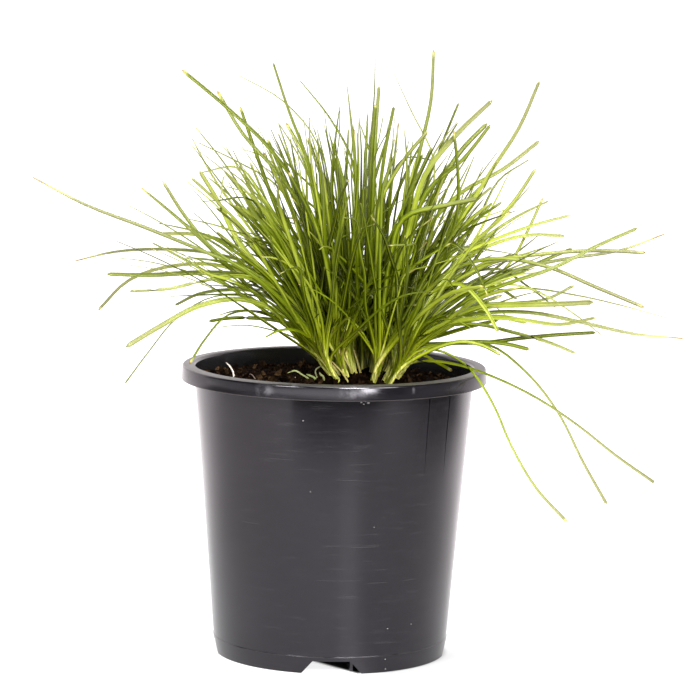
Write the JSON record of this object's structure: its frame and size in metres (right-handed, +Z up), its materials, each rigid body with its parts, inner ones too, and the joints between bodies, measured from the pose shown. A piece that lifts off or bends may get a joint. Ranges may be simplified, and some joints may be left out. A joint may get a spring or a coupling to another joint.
{
  "type": "potted ornamental grass",
  "caption": "Clump of slender arching grass leaves growing in a round black plastic nursery pot filled with dark bark potting mix.",
  "frame": {"origin": "middle of the underside of the pot's central pad, on the surface that the pot stands on", "axes": "+Z up along the pot's axis; +X to the right and -Y towards the viewer of the pictured side, which the front drainage notch faces"},
  "size_m": [0.4232, 0.2935, 0.4024],
  "materials": {
    "pot": "satin",
    "potting_mix": "matte",
    "leaf": "satin"
  },
  "bodies": {
    "root": {"pot": "pot", "potting_mix": "potting_mix", "shoot_01": "leaf", "shoot_02": "leaf", "shoot_03": "leaf", "shoot_04": "leaf", "shoot_05": "leaf", "shoot_06": "leaf", "shoot_07": "leaf", "shoot_08": "leaf", "shoot_09": "leaf", "shoot_10": "leaf", "shoot_11": "leaf", "shoot_12": "leaf", "shoot_13": "leaf", "shoot_14": "leaf", "shoot_15": "leaf", "shoot_16": "leaf", "shoot_17": "leaf", "shoot_18": "leaf", "shoot_19": "leaf", "shoot_20": "leaf", "shoot_21": "leaf", "shoot_22": "leaf", "shoot_23": "leaf", "shoot_24": "leaf", "shoot_25": "leaf", "shoot_26": "leaf"}
  },
  "joints": []
}
